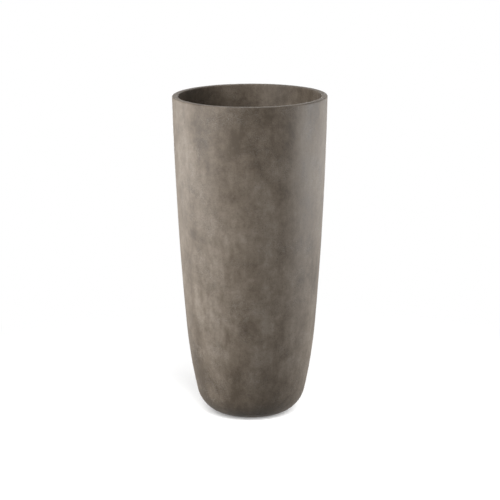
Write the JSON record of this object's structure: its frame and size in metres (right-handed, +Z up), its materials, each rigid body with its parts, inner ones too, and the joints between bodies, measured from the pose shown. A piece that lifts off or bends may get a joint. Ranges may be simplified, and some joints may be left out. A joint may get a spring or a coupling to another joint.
{
  "type": "tall round fiberglass planter",
  "caption": "Tall round tapered planter, laminated fiberglass with a thick rim and rounded base, with a lift-out perforated planting shelf and a pull-out drain plug.",
  "frame": {"origin": "on the floor under the centre of the pot", "axes": "+Z up along the pot's axis; +X towards the first shelf bracket; the picture looks along +Y"},
  "size_m": [0.3798, 0.3798, 0.8],
  "materials": {
    "laminate": "matte",
    "bracket_laminate": "matte",
    "shelf_plastic": "matte",
    "bush_plastic": "satin",
    "rubber": "matte"
  },
  "bodies": {
    "pot": {"shell_wall": "laminate", "base_pan": "laminate", "drain_bush": "bush_plastic", "shelf_bracket_1": "bracket_laminate", "shelf_bracket_2": "bracket_laminate", "shelf_bracket_3": "bracket_laminate", "foot_pad_1": "rubber", "foot_pad_2": "rubber", "foot_pad_3": "rubber", "foot_pad_4": "rubber"},
    "shelf": {"planting_shelf": "shelf_plastic"},
    "plug": {"drain_plug": "rubber"}
  },
  "joints": [
    {"name": "shelf_lift", "type": "slide", "parent": "pot", "child": "shelf", "axis": [0, 0, 1], "range_m": [0, 0.4]},
    {"name": "plug_pull", "type": "slide", "parent": "pot", "child": "plug", "axis": [0, 0, 1], "range_m": [0, 0.08]}
  ]
}
